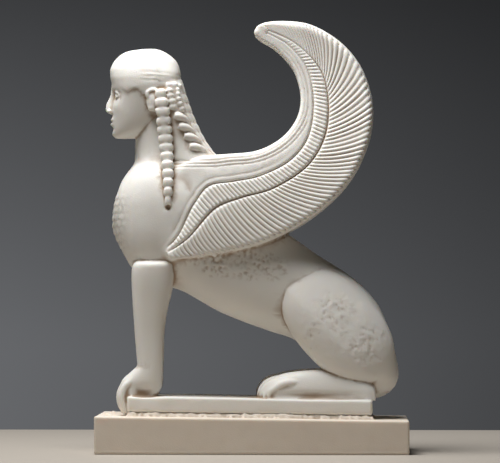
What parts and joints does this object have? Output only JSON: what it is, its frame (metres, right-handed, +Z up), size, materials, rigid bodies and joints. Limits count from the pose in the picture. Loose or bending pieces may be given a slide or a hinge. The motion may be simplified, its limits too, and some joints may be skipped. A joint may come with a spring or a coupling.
{
  "type": "seated winged sphinx statue",
  "caption": "Small cast stone figure of a seated winged sphinx with sickle wings and long beaded hair, on a plain oblong stone base.",
  "frame": {"origin": "middle of the base's underside, on the surface that the statue stands on", "axes": "+Z up, +X towards the sphinx's rump, so it looks along -X, and -Y is its left side"},
  "size_m": [0.16, 0.064, 0.2218],
  "materials": {
    "base_stone": "matt, sawn and lightly rubbed, edges softened",
    "figure_stone": "fine satin, slightly translucent, pitted on the flank and haunch"
  },
  "bodies": {
    "root": {"base": "base_stone", "sphinx": "figure_stone"}
  },
  "joints": []
}
